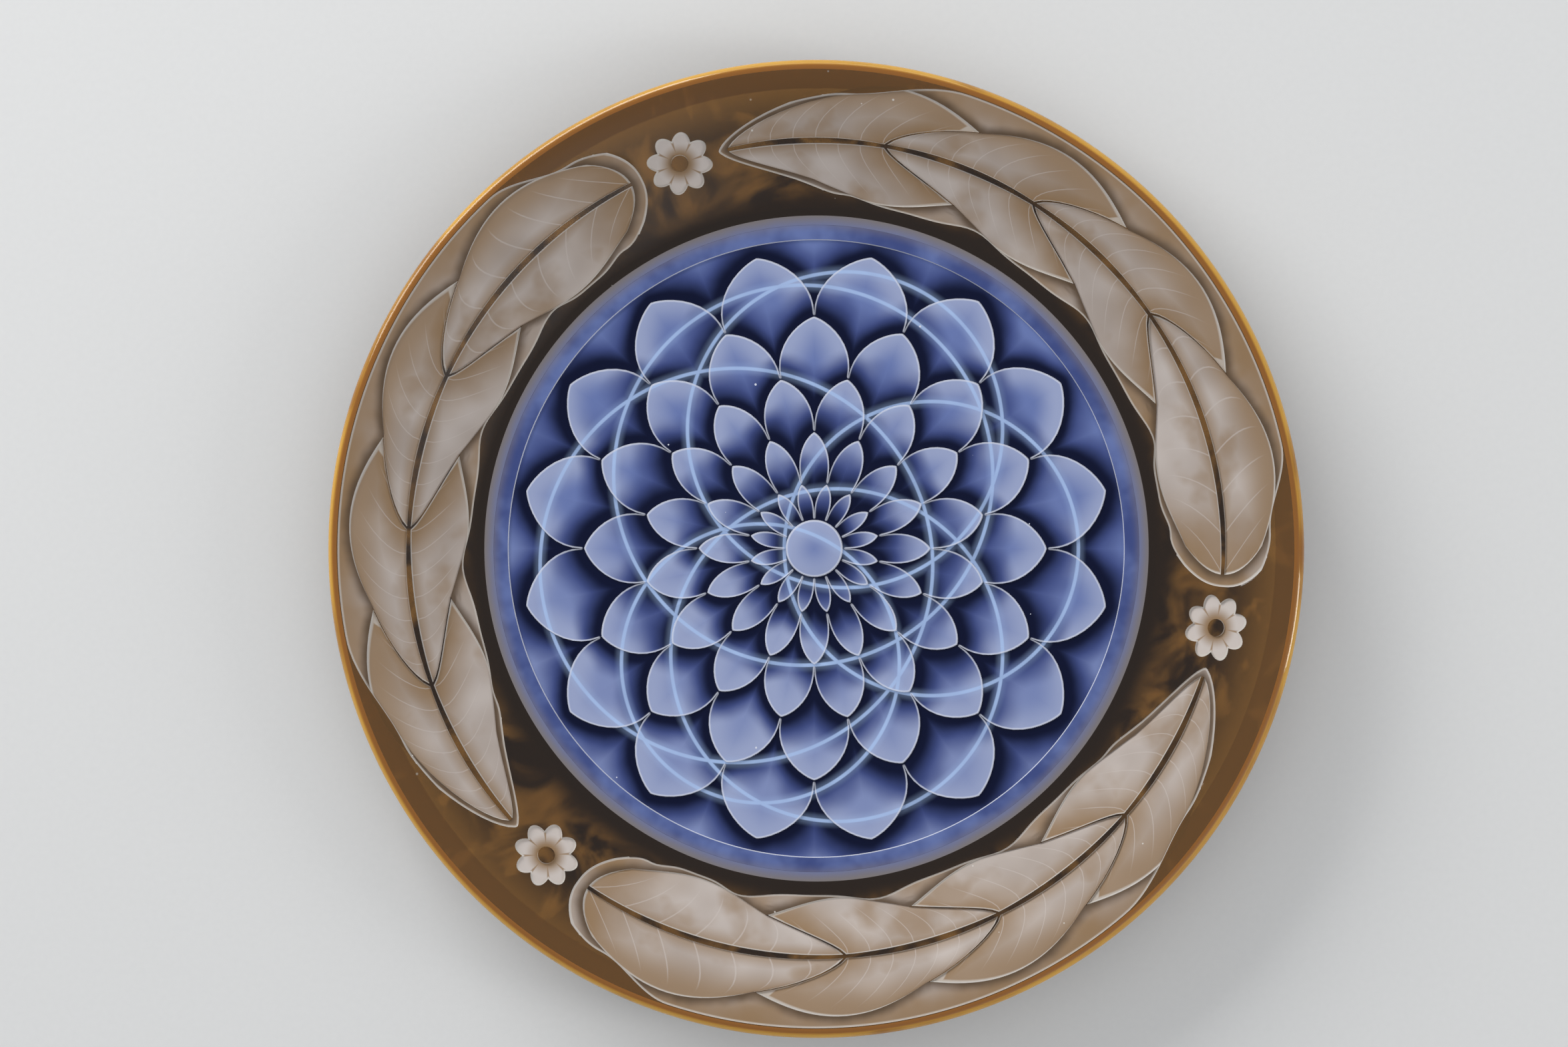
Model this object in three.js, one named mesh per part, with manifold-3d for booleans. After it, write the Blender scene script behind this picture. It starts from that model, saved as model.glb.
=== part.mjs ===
// A studio-glass charger: a shallow dish of clear glass, cased with amber glass over its rim and lip,
// and with blue glass over its well. The two casings meet in a half lap round the well.
// Both casings are cut by sand blasting: overlapping petals in the well, garlands of leaves on the rim.
// The frame has +Z up with the foot on Z = 0 and the plate's axis on the origin. Sizes are millimetres.
import * as THREE from "three";
import { mergeVertices } from "three/addons/utils/BufferGeometryUtils.js";
import Module from "manifold-3d";

const wasm = await Module();
wasm.setup();

// Driving sizes of the dish.
const PLATE_RADIUS = 225;
const WELL_RADIUS = 155;
const WELL_SAG = 1.8;
const RIM_RISE = 26;
const COVE_REACH = 20;
const COVE_RISE = 1.5;
const LIP_REACH = 22;
const LIP_RISE = 4;
const BODY_THICKNESS = 6;
const LIP_THICKNESS = 3.4;
const FOOT_INNER_RADIUS = 100;
const FOOT_WIDTH = 12;
const FOOT_HEIGHT = 1.2;
const FOOT_FLARE = 2;

// Driving sizes of the casings and of the joints between the three glasses.
const CASING_THICKNESS = 2;
const BOND_GAP = 0.3;
const LAP_WIDTH = 8;
const LAP_THICKNESS = 0.85;
const LIP_WRAP = 12;

// Driving sizes of the petals cut in the well.
const CUT_DEPTH = 0.9;
const TIP_DEPTH = 0.1;
const BOSS_RADIUS = 13;
const BOSS_HEIGHT = 0.6;
const PETALS = 16;
const PETAL_TIPS = [30, 54, 80, 108, 138];
const PETAL_CLEARANCE = 1.5;
const PETAL_POINT = 1.25;
const BORDER_WIDTH = 7;

// Driving sizes of the leaves and flowers cut in the rim. Angles are degrees round the plate.
const GARLANDS = 3;
const LEAVES = 4;
const GARLAND_RADIUS = 189;
const LEAF_HALF_WIDTH = 26;
const LEAF_NECK = 17;
const LEAF_PITCH = 22.5;
const LEAF_LEAD = 12;
const LEAF_POINT = 1.5;
const BASE_ROUNDING = 4;
const RIB_WIDTH = 1.6;
const LEAF_GAP = 1.4;
const FLOWER_RADIUS = 15;
const FLOWER_NOTCH = 4;
const FLOWER_EYE_RADIUS = 4;
const FLOWER_PETALS = 8;

// How finely the round forms are faceted.
const STEPS_PER_PETAL = 6;
const SEGMENTS = PETALS * STEPS_PER_PETAL;
const WELL_STEPS = 2;
const RIM_STEPS = 4;
const LIP_STEPS = 3;
const LEAF_STEPS = 3;

const FULL_TURN = 2 * Math.PI;
const wellFloor = FOOT_HEIGHT + BODY_THICKNESS;
const wellEdge = wellFloor + WELL_SAG;
const lapInner = WELL_RADIUS - LAP_WIDTH / 2;
const lapOuter = WELL_RADIUS + LAP_WIDTH / 2;
const casingTop = BOND_GAP + CASING_THICKNESS;

const radians = THREE.MathUtils.degToRad;
const lerp = THREE.MathUtils.lerp;
const point = (r, z) => new THREE.Vector2(r, z);

// Unit normal of a profile at one of its points, to the left of the way it runs.
function normalAt(points, i) {
  const before = points[Math.max(i - 1, 0)];
  const after = points[Math.min(i + 1, points.length - 1)];
  const along = after.clone().sub(before).normalize();
  return point(-along.y, along.x);
}

// A profile moved to its left by a distance.
function offset(points, distance) {
  return points.map((p, i) => p.clone().add(normalAt(points, i).multiplyScalar(distance)));
}

// The well's upper face from the axis to the start of the rim.
function wellFace() {
  const points = [];
  for (let i = 0; i < WELL_STEPS; i++) {
    const share = i / WELL_STEPS;
    points.push(point(WELL_RADIUS * share, wellFloor + WELL_SAG * share * share));
  }
  return points;
}

// The lip's round section is faceted, and these are the directions of its corners from its centre.
const lipLean = Math.atan2(LIP_RISE, LIP_REACH);
const lipCorners = [];
for (let i = 1; i < LIP_STEPS; i++) {
  lipCorners.push(Math.PI / 2 + lipLean - (Math.PI * i) / LIP_STEPS);
}

// The rim's upper face: it rises out of the well in a cove and flattens towards the lip, which
// stands so far out that the casing round it reaches the plate's radius.
function rimCurve() {
  const lipRadius = LIP_THICKNESS / 2;
  const outermost = Math.cos(Math.min(...lipCorners.map(Math.abs)));
  const lipStart = PLATE_RADIUS - (lipRadius + casingTop) * outermost - lipRadius * Math.sin(lipLean);
  const lipTop = wellEdge + RIM_RISE;
  return new THREE.CubicBezierCurve(
    point(WELL_RADIUS, wellEdge),
    point(WELL_RADIUS + COVE_REACH, wellEdge + COVE_RISE),
    point(lipStart - LIP_REACH, lipTop - LIP_RISE),
    point(lipStart, lipTop),
  );
}

const rimLine = rimCurve();
const rim = rimLine.getPoints(RIM_STEPS);
const upperFace = [...wellFace(), ...rim];

// The rim's underside, thinning from the well to the lip.
const rimUnderside = rim.map((p, i) => {
  const share = i / RIM_STEPS;
  const along = rimLine.getTangent(share);
  const thickness = lerp(BODY_THICKNESS, LIP_THICKNESS, share);
  return p.clone().add(point(along.y, -along.x).multiplyScalar(thickness));
});

// The round lip that joins the rim's two faces.
function lipRound() {
  const centre = rim[RIM_STEPS].clone().lerp(rimUnderside[RIM_STEPS], 0.5);
  const radius = LIP_THICKNESS / 2;
  return lipCorners.map((a) => point(centre.x + radius * Math.cos(a), centre.y + radius * Math.sin(a)));
}

const lip = lipRound();

// The rim's whole outline: out along its upper face, round the lip and back along the underside.
const rimOutline = [...rim, ...lip, ...rimUnderside.slice().reverse()];

// Height of the body's upper face at a radius.
function faceHeight(radius) {
  for (let i = 1; i < upperFace.length; i++) {
    const a = upperFace[i - 1];
    const b = upperFace[i];
    if (radius <= b.x) return lerp(a.y, b.y, (radius - a.x) / (b.x - a.x));
  }
  return upperFace[upperFace.length - 1].y;
}

// A closed solid from rows of [radius, height] that may change with the angle round Z.
// Rows that start and end on the axis close there, and any others close on each other.
function turned(rows, segments = SEGMENTS) {
  const vertices = [];
  const ringOf = rows.map((row) => {
    const isPole = row(0)[0] === 0;
    const ring = [];
    for (let i = 0; i < (isPole ? 1 : segments); i++) {
      const angle = (FULL_TURN * i) / segments;
      const [r, z] = row(angle);
      ring.push(vertices.length / 3);
      vertices.push(r * Math.cos(angle), r * Math.sin(angle), z);
    }
    return ring;
  });
  const faces = [];
  const onAxis = ringOf[0].length === 1;
  const bands = onAxis ? rows.length - 1 : rows.length;
  for (let b = 0; b < bands; b++) {
    const near = ringOf[b];
    const far = ringOf[(b + 1) % rows.length];
    for (let i = 0; i < segments; i++) {
      const j = (i + 1) % segments;
      if (near.length > 1) faces.push(near[i], far[i % far.length], near[j]);
      if (far.length > 1) faces.push(near[j % near.length], far[i], far[j]);
    }
  }
  const geometry = new THREE.BufferGeometry();
  geometry.setAttribute("position", new THREE.Float32BufferAttribute(vertices, 3));
  geometry.setIndex(faces);
  return geometry;
}

// Rows of a plain turned profile, given from its top on the axis outwards and back underneath.
const plainRows = (points) => points.map((p) => () => [p.x, p.y]);

function solidOf(geometry) {
  const bare = geometry.clone();
  bare.deleteAttribute("normal");
  bare.deleteAttribute("uv");
  const merged = mergeVertices(bare, 1e-4);
  return new wasm.Manifold(
    new wasm.Mesh({
      numProp: 3,
      vertProperties: new Float32Array(merged.attributes.position.array),
      triVerts: new Uint32Array(merged.index.array),
    }),
  );
}

function geometryOf(solid) {
  const mesh = solid.getMesh();
  const geometry = new THREE.BufferGeometry();
  geometry.setAttribute("position", new THREE.BufferAttribute(mesh.vertProperties, 3));
  geometry.setIndex(new THREE.BufferAttribute(mesh.triVerts, 1));
  geometry.computeVertexNormals();
  return geometry;
}

// The clear dish, with its ground foot and the hollow inside the foot.
function clearBody() {
  const footOuterRadius = FOOT_INNER_RADIUS + FOOT_WIDTH;
  const underside = (radius) => faceHeight(radius) - BODY_THICKNESS;
  const footRootOut = footOuterRadius + FOOT_FLARE;
  const footRootIn = FOOT_INNER_RADIUS - FOOT_FLARE;
  const foot = [
    point(footRootOut, underside(footRootOut)),
    point(footOuterRadius, 0),
    point(FOOT_INNER_RADIUS, 0),
    point(footRootIn, underside(footRootIn)),
    point(0, underside(0)),
  ];
  return turned(plainRows([...wellFace(), ...rimOutline, ...foot]));
}

// How far a petal's outline stands out, from 0 in the notch to 1 at its tip.
function petalReach(angle, ring) {
  const pitch = FULL_TURN / PETALS;
  const turn = angle / pitch + (ring % 2 ? 0.5 : 0);
  const across = Math.abs(2 * (turn - Math.round(turn)));
  return Math.sqrt(Math.max(0, 1 - across ** PETAL_POINT));
}

// Outer edge of one ring of petals. Ring 0 is the edge of the boss in the middle.
function petalEdge(angle, ring) {
  if (ring === 0) return BOSS_RADIUS;
  const inside = ring === 1 ? BOSS_RADIUS : PETAL_TIPS[ring - 2];
  return lerp(inside + PETAL_CLEARANCE, PETAL_TIPS[ring - 1], petalReach(angle, ring));
}

// The blue casing of the well. Each petal rises from under the ring inside it to its own tip,
// and a thin flange round the edge lies under the amber casing.
function blueCasing() {
  const top = (radius, depth) => faceHeight(radius) + casingTop - depth;
  const rows = [
    () => [0, top(0, 0) + BOSS_HEIGHT],
    () => [BOSS_RADIUS / 2, top(0, 0) + BOSS_HEIGHT * 0.75],
    () => [BOSS_RADIUS, top(0, 0)],
  ];
  for (let ring = 1; ring <= PETAL_TIPS.length; ring++) {
    rows.push((angle) => {
      const r = petalEdge(angle, ring - 1);
      return [r, top(r, CUT_DEPTH)];
    });
    rows.push((angle) => {
      const r = petalEdge(angle, ring);
      return [r, top(r, TIP_DEPTH)];
    });
  }
  rows.push((angle) => {
    const r = petalEdge(angle, PETAL_TIPS.length);
    return [r, top(r, CUT_DEPTH)];
  });
  const borderInner = lapInner - BORDER_WIDTH;
  const flangeTop = BOND_GAP + LAP_THICKNESS;
  rows.push(
    ...plainRows([
      point(borderInner, top(borderInner, CUT_DEPTH)),
      point(borderInner, top(borderInner, 0)),
      point(lapInner, top(lapInner, 0)),
      point(lapInner, faceHeight(lapInner) + flangeTop),
      point(lapOuter, faceHeight(lapOuter) + flangeTop),
      point(lapOuter, faceHeight(lapOuter) + BOND_GAP),
      point(WELL_RADIUS, faceHeight(WELL_RADIUS) + BOND_GAP),
      ...wellFace()
        .reverse()
        .map((p) => point(p.x, p.y + BOND_GAP)),
    ]),
  );
  return turned(rows);
}

// The stretch of the rim's outline that amber covers, from outside the lap to under the lip.
function wrapped(distance) {
  const faces = offset(rimOutline, distance);
  const lastTop = RIM_STEPS + LIP_STEPS;
  const wrapRadius = PLATE_RADIUS - LIP_WRAP;
  return faces.filter((p, i) => p.x > (i <= lastTop ? lapOuter + BOND_GAP : wrapRadius));
}

// The amber casing of the rim before it is cut: it laps over the blue flange and wraps the lip.
function amberBlank() {
  const start = lapInner + BOND_GAP;
  const step = lapOuter + BOND_GAP;
  const lapUnderside = BOND_GAP + LAP_THICKNESS + BOND_GAP;
  const outside = wrapped(casingTop);
  const inside = wrapped(BOND_GAP);
  return turned(
    plainRows([
      point(start, faceHeight(start) + casingTop),
      point(step, faceHeight(step) + casingTop),
      ...outside,
      ...inside.reverse(),
      point(step, faceHeight(step) + BOND_GAP),
      point(step, faceHeight(step) + lapUnderside),
      point(start, faceHeight(start) + lapUnderside),
    ]),
  );
}

// The layer of amber that cutting takes away: from the cut's floor to clear above the rim.
function cutLayer() {
  const clearAbove = 3;
  const floor = offset(rim, casingTop - CUT_DEPTH);
  const above = offset(rim, casingTop + clearAbove);
  return solidOf(turned(plainRows([...above, ...floor.reverse()])));
}

// Where the tips of the leaves before this one end. Across runs from -1 at the inner edge to 1.
function leafEnd(leaf, across) {
  const shoulder = leaf * LEAF_PITCH;
  if (leaf === 0) return shoulder - BASE_ROUNDING * (1 - across * across);
  return shoulder + LEAF_LEAD * (1 - Math.abs(across) ** LEAF_POINT);
}

// A point of a leaf in plan. Along runs from 0 at its base to 1 at its tip.
function leafPoint(garlandStart, leaf, along, across) {
  const gap = THREE.MathUtils.radToDeg(LEAF_GAP / GARLAND_RADIUS);
  const from = leafEnd(leaf - 1, across) + gap;
  const angle = radians(garlandStart + lerp(from, leafEnd(leaf, across), along));
  const halfWidth = lerp(LEAF_NECK, LEAF_HALF_WIDTH, Math.sin(Math.PI * along));
  const radius = GARLAND_RADIUS + across * halfWidth;
  return point(radius * Math.cos(angle), radius * Math.sin(angle));
}

// Half a leaf on one side of its rib, as a closed outline in plan.
function halfLeaf(garlandStart, leaf, side) {
  const rib = RIB_WIDTH / 2 / LEAF_NECK;
  const outline = [];
  const trace = (alongFrom, alongTo, acrossFrom, acrossTo) => {
    for (let i = 0; i < LEAF_STEPS; i++) {
      const share = i / LEAF_STEPS;
      const along = lerp(alongFrom, alongTo, share);
      const across = side * lerp(acrossFrom, acrossTo, share);
      outline.push(leafPoint(garlandStart, leaf, along, across));
    }
  };
  trace(0, 1, 1, 1);
  trace(1, 1, 1, rib);
  trace(1, 0, rib, rib);
  trace(0, 0, rib, 1);
  return new THREE.Shape(outline);
}

// A small flower in plan between two garlands, with its eye left whole.
function flower(angleDegrees) {
  const angle = radians(angleDegrees);
  const centre = point(GARLAND_RADIUS * Math.cos(angle), GARLAND_RADIUS * Math.sin(angle));
  const stepsPerPetal = 3;
  const steps = FLOWER_PETALS * stepsPerPetal;
  const outline = [];
  for (let i = 0; i < steps; i++) {
    const share = (i % stepsPerPetal) / stepsPerPetal;
    const radius = FLOWER_RADIUS - FLOWER_NOTCH * (1 - Math.sin(Math.PI * share));
    const turn = angle + (FULL_TURN * i) / steps;
    outline.push(centre.clone().add(point(radius * Math.cos(turn), radius * Math.sin(turn))));
  }
  const shape = new THREE.Shape(outline);
  const eye = new THREE.Path();
  eye.absarc(centre.x, centre.y, FLOWER_EYE_RADIUS, 0, FULL_TURN);
  shape.holes.push(eye);
  return shape;
}

// The amber casing with its leaves and flowers cut down to the cut's floor.
function amberCasing() {
  const prismHeight = PLATE_RADIUS;
  const layer = cutLayer();
  const turnPerGarland = 360 / GARLANDS;
  const shapes = [];
  for (let g = 0; g < GARLANDS; g++) {
    const start = g * turnPerGarland;
    for (let leaf = 1; leaf <= LEAVES; leaf++) {
      shapes.push(halfLeaf(start, leaf, 1), halfLeaf(start, leaf, -1));
    }
    const lastTip = leafEnd(LEAVES, 0);
    const nextBase = turnPerGarland - BASE_ROUNDING;
    shapes.push(flower(start + (lastTip + nextBase) / 2));
  }
  const curveSegments = 5;
  let casing = solidOf(amberBlank());
  for (const shape of shapes) {
    const prism = new THREE.ExtrudeGeometry(shape, {
      depth: prismHeight,
      bevelEnabled: false,
      curveSegments,
    });
    casing = casing.subtract(solidOf(prism).intersect(layer));
  }
  return geometryOf(casing);
}

const clearGlass = new THREE.MeshStandardMaterial({
  color: 0xdfe6e2,
  roughness: 0.05,
  metalness: 0,
  transparent: true,
  opacity: 0.35,
});
const amberGlass = new THREE.MeshStandardMaterial({
  color: 0x6b4320,
  roughness: 0.3,
  metalness: 0,
  transparent: true,
  opacity: 0.85,
});
const blueGlass = new THREE.MeshStandardMaterial({
  color: 0x5664a4,
  roughness: 0.4,
  metalness: 0,
  transparent: true,
  opacity: 0.9,
});

function glass(name, geometry, material) {
  const mesh = new THREE.Mesh(geometry, material);
  mesh.name = name;
  return mesh;
}

const plate = new THREE.Group();
plate.add(
  glass("clear_body", clearBody(), clearGlass),
  glass("amber_rim_casing", amberCasing(), amberGlass),
  glass("blue_well_casing", blueCasing(), blueGlass),
);

export default plate;
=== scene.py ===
import math
from typing import NamedTuple

import bpy
import numpy as np
from bpy.props import FloatProperty, FloatVectorProperty, IntProperty, PointerProperty
from mathutils import Matrix, Vector


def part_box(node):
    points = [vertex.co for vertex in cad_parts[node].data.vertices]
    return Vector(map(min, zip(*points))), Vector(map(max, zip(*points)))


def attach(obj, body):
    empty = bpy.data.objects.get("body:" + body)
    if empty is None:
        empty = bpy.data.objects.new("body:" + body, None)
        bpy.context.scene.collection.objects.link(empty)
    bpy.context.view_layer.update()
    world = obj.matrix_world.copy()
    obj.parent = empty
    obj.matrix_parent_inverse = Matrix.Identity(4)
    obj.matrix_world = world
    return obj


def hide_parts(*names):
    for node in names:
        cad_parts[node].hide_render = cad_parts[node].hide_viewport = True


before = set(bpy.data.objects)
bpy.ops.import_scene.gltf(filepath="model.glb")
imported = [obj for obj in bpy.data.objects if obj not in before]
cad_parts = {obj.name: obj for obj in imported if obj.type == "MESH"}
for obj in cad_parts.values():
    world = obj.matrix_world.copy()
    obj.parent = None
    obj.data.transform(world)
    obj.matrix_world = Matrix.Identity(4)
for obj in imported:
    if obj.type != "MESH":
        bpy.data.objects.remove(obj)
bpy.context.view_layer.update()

bl_info = {
    "name": "Cased glass charger",
    "version": (1, 0, 0),
    "blender": (4, 5, 0),
    "location": "View3D > Sidebar > Charger",
    "description": "Models a large glass plate with carved amber and blue casings, and its stage",
    "category": "Add Mesh",
}

MM = 0.001
BODY_NODE = "clear_body"
AMBER_NODE = "amber_rim_casing"
BLUE_NODE = "blue_well_casing"
amber_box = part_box(AMBER_NODE)
IMAGE_WIDTH = 2349
IMAGE_HEIGHT = 1568

# Width of the bevel along a ground or carved edge.
BEVEL = 0.35 * MM

# What a distance to an edge says, in millimetres, where no edge is near.
FAR = 60.0


def distance(name, description, default):
    return FloatProperty(name=name, description=description, default=default, unit="LENGTH", precision=5)


def angle(name, description, degrees):
    return FloatProperty(
        name=name, description=description, default=math.radians(degrees), subtype="ANGLE"
    )


def share(name, description, default):
    return FloatProperty(name=name, description=description, default=default, subtype="FACTOR")


def count(name, description, default, least=1):
    return IntProperty(name=name, description=description, default=default, min=least)


def colour(name, description, default):
    return FloatVectorProperty(
        name=name, description=description, default=default, subtype="COLOR", min=0.0, max=1.0
    )


class DishSizes(bpy.types.PropertyGroup):
    plate_radius: distance("Plate radius", "Radius over the lip", amber_box[1].x)
    plate_height: distance("Plate height", "Height of the lip over the foot", amber_box[1].z)
    well_radius: distance("Well radius", "Where the rim starts to rise", 155 * MM)
    well_sag: distance("Well sag", "How far the well dips in the middle", 1.8 * MM)
    cove_reach: distance("Cove reach", "How far the cove runs out before the rim steepens", 20 * MM)
    cove_rise: distance("Cove rise", "How far the cove rises over that reach", 1.5 * MM)
    lip_reach: distance("Lip reach", "How far in from the lip the rim flattens", 22 * MM)
    lip_rise: distance("Lip rise", "How far the rim rises over that reach", 4 * MM)
    wall: distance("Wall", "Thickness of the clear glass in the well", 6 * MM)
    lip_wall: distance("Lip wall", "Thickness of the clear glass at the lip", 3.4 * MM)
    casing: distance("Casing", "Height of the coloured glass over the clear glass", 2.3 * MM)
    seat: distance("Seat", "Clearance between two glasses", 0.1 * MM)
    lap: distance("Lap", "Half the width of the ring where the amber glass lies over the blue", 4 * MM)
    lap_height: distance("Lap height", "Height over the clear glass where the two meet there", 1.2 * MM)
    lip_wrap: distance("Lip wrap", "How far in under the lip the amber glass reaches", 12 * MM)
    foot_radius: distance("Foot radius", "Inner radius of the ground foot", 100 * MM)
    foot_width: distance("Foot width", "Width of the ground foot", 12 * MM)
    foot_height: distance("Foot height", "How far the foot stands out", 1.2 * MM)
    foot_flare: distance("Foot flare", "How far the foot spreads at its root", 2 * MM)


class WellCarving(bpy.types.PropertyGroup):
    petals: count("Petals", "Petals in each ring", 16, 5)
    rings: count("Rings", "Rings of petals", 5)
    first_tip: distance("First tip", "Radius of the first ring's tips", 30 * MM)
    last_tip: distance("Last tip", "Radius of the last ring's tips", 138 * MM)
    spread: distance("Spread", "How much wider each ring is than the one inside it", 2 * MM)
    boss_radius: distance("Boss radius", "Radius of the round boss in the middle", 13 * MM)
    boss_height: distance("Boss height", "How far the boss stands over the well", 0.6 * MM)
    cut: distance("Cut", "Depth of the carving under each petal's edge", 0.9 * MM)
    tip_cut: distance("Tip cut", "Depth of the carving at a petal's tip", 0.1 * MM)
    border: distance("Border", "Width of the plain border round the petals", 7 * MM)
    clearance: distance("Clearance", "Least width of a petal beyond the ring inside it", 1.5 * MM)
    circles: count("Engraved circles", "Wide circles engraved across the petals", 6)
    circles_reach: distance("Circles' reach", "How far out the circles run", 131 * MM)
    circles_width: distance("Circles' width", "Width of an engraved line", 1 * MM)


class RimCarving(bpy.types.PropertyGroup):
    garlands: count("Garlands", "Garlands round the rim", 3)
    leaves: count("Leaves", "Leaves in each garland", 4)
    radius: distance("Garland radius", "Radius of the leaves' ribs", 189 * MM)
    half_width: distance("Half width", "Half the width of a leaf at its widest", 26 * MM)
    neck: distance("Neck", "Half the width of a leaf at its base", 17 * MM)
    pitch: angle("Leaf pitch", "Angle from one leaf to the next", 22.5)
    lead: angle("Leaf lead", "How far a leaf's tip runs ahead of its shoulders", 12)
    rounding: angle("Base rounding", "How far the first leaf's base bows back", 4)
    rib: distance("Rib", "Width of the rib left standing along a leaf", 1.6 * MM)
    gap: distance("Gap", "Width of the ground left between two leaves", 1.4 * MM)
    cut: distance("Cut", "Depth of the carving", 0.9 * MM)
    crown: distance("Crown", "How far each half of a leaf rises to its middle", 0.45 * MM)
    band_cut: distance("Band cut", "Depth of the frosted band that the leaves lie on", 0.3 * MM)
    band_inner: distance("Band inner edge", "Radius of its inner edge beside a leaf's middle", 161.6 * MM)
    band_wave: distance("Band wave", "How far that edge draws back beside a leaf's neck", 3.6 * MM)
    band_outer: distance("Band outer edge", "Polished glass between the band and the lip", 0.4 * MM)
    band_shoulder: distance("Band shoulder", "Width beyond the leaf's neck at its ends", 4 * MM)
    band_end: share("Band end", "Share of the space between two garlands that a band covers", 0.09)
    flower_radius: distance("Flower radius", "Radius of the flower between two garlands", 15 * MM)
    flower_notch: distance("Flower notch", "Depth of the notches between its petals", 4 * MM)
    flower_eye: distance("Flower eye", "Radius of the eye left standing", 4 * MM)
    flower_petals: count("Flower petals", "Petals of a flower", 8)


class GlassColours(bpy.types.PropertyGroup):
    clear: colour("Clear glass", "Tint of the clear glass", (0.86, 0.92, 0.89))
    amber: colour("Amber glass", "Polished amber glass", (0.045, 0.020, 0.007))
    amber_streak_and_glow: colour("Amber streak", "Lighter streaks in the amber glass", (0.42, 0.20, 0.045))
    # Painted glow: the lip colours stand in for light gathered and piped round the lip's edge, golden at
    # its rim and orange further in.
    lip_glow: colour("Golden lip", "Amber glass where the lip gathers light", (0.96, 0.52, 0.07))
    orange: colour("Orange lip", "The lip where its glass is deeper", (0.42, 0.16, 0.022))
    frost: colour("Frosted amber", "Blasted amber glass", (0.46, 0.385, 0.335))
    pale_frost: colour("Pale frost", "Deeply blasted amber glass", (0.65, 0.58, 0.535))
    tan: colour("Tan shading", "Where the amber glass is blasted lightly", (0.32, 0.20, 0.103))
    umber: colour("Umber shading", "The most lightly blasted amber glass", (0.100, 0.060, 0.031))
    # Painted highlight: this pale colour stands in for light caught along the carved edges, and for glints
    # on the seeds.
    line: colour("Pale line", "Edges of the carving in the amber glass", (0.70, 0.655, 0.60))
    blue: colour("Frosted blue", "Blasted blue glass", (0.155, 0.215, 0.49))
    low_blue: colour("Low blue", "Lightly blasted blue glass", (0.05, 0.078, 0.26))
    crest: colour("Crest", "Deeply blasted blue glass", (0.37, 0.43, 0.66))
    navy: colour("Navy", "Blue glass that is left polished", (0.004, 0.007, 0.032))
    # Painted highlight: this pale colour stands in for light caught along the carved edges in the blue
    # glass, and for glints on its seeds.
    crest_highlight: colour("Crest line", "Edges of the carving in the blue glass", (0.78, 0.81, 0.92))
    engraved: colour("Engraved line", "Lines engraved across the well", (0.47, 0.64, 0.98))
    margin: colour("Margin", "Frosted edge of the well", (0.24, 0.21, 0.20))


class Studio(bpy.types.PropertyGroup):
    lens: FloatProperty(name="Lens", description="Focal length in millimetres", default=75.0)
    sensor: FloatProperty(name="Sensor", description="Sensor width in millimetres", default=36.0)
    turn: angle("Turn", "How far the camera stands to the plate's right of its axis", 4.4)
    floor_size: distance("Floor size", "Side of the square floor", 9.0)
    floor_colour: colour("Floor colour", "Colour of the floor", (0.80, 0.80, 0.79))


PROPERTY_GROUPS = {
    "charger_dish": DishSizes,
    "charger_well": WellCarving,
    "charger_rim": RimCarving,
    "charger_colours": GlassColours,
    "charger_studio": Studio,
}


# Curves of the dish.


def smooth(value, low, high):
    """0 below low, 1 above high, and a smooth step between."""
    way = np.clip((value - low) / (high - low), 0, 1)
    return way * way * (3 - 2 * way)


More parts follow.
